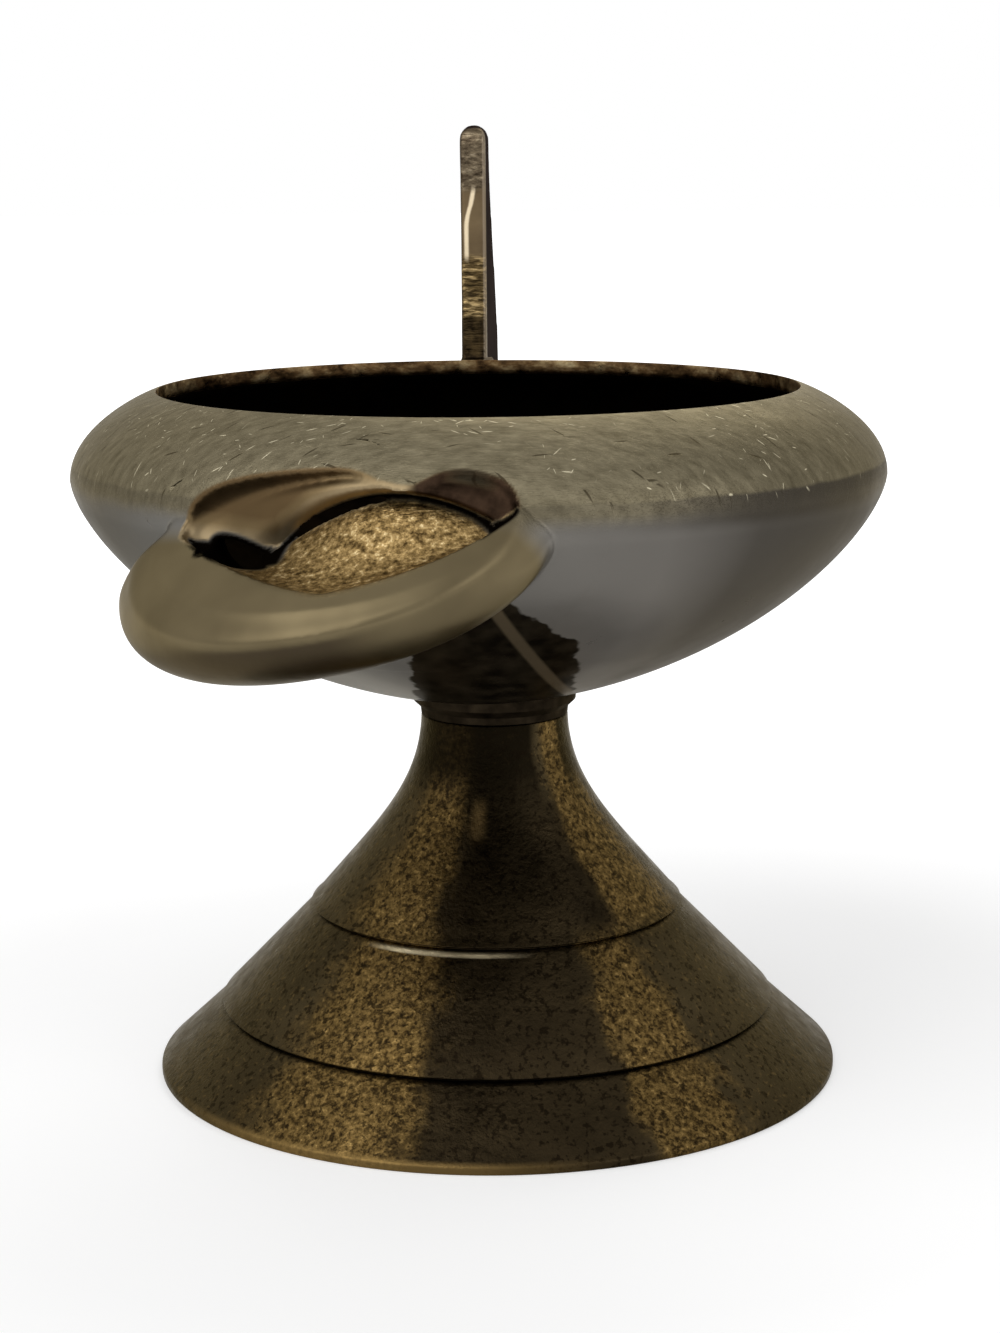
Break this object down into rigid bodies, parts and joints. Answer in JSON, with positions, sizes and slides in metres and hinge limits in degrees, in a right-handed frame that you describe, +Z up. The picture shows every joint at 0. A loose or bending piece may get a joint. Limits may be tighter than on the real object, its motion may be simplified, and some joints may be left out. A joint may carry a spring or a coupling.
{
  "type": "oil lamp",
  "caption": "Cast brass oil lamp: round reservoir with an in-turned shoulder, thick-lipped wick nozzle, blade handle and hollow trumpet foot.",
  "frame": {"origin": "on the table, under the middle of the whole lamp's bounding box", "axes": "+X to the lamp's left side seen from behind the nozzle (the viewer's right in the picture), +Y away from the nozzle towards the handle, +Z up"},
  "size_m": [0.098, 0.1158, 0.1151],
  "materials": {
    "dark_brass": "turned, pitted and darkened with golden specks",
    "grey_brass": "dull, finely scratched above the widest ring, smooth below it",
    "rubbed_brass": "rubbed smooth, rough cast inside the mouth",
    "brown_brass": "cast, cross-scratched on its front edge",
    "braze": "dull filler metal"
  },
  "bodies": {
    "root": {"foot": "dark_brass", "neck_solder": "braze", "spigot_washer": "braze", "bowl": "grey_brass", "nozzle": "rubbed_brass", "nozzle_braze": "braze", "handle": "brown_brass", "handle_braze": "braze"}
  },
  "joints": []
}
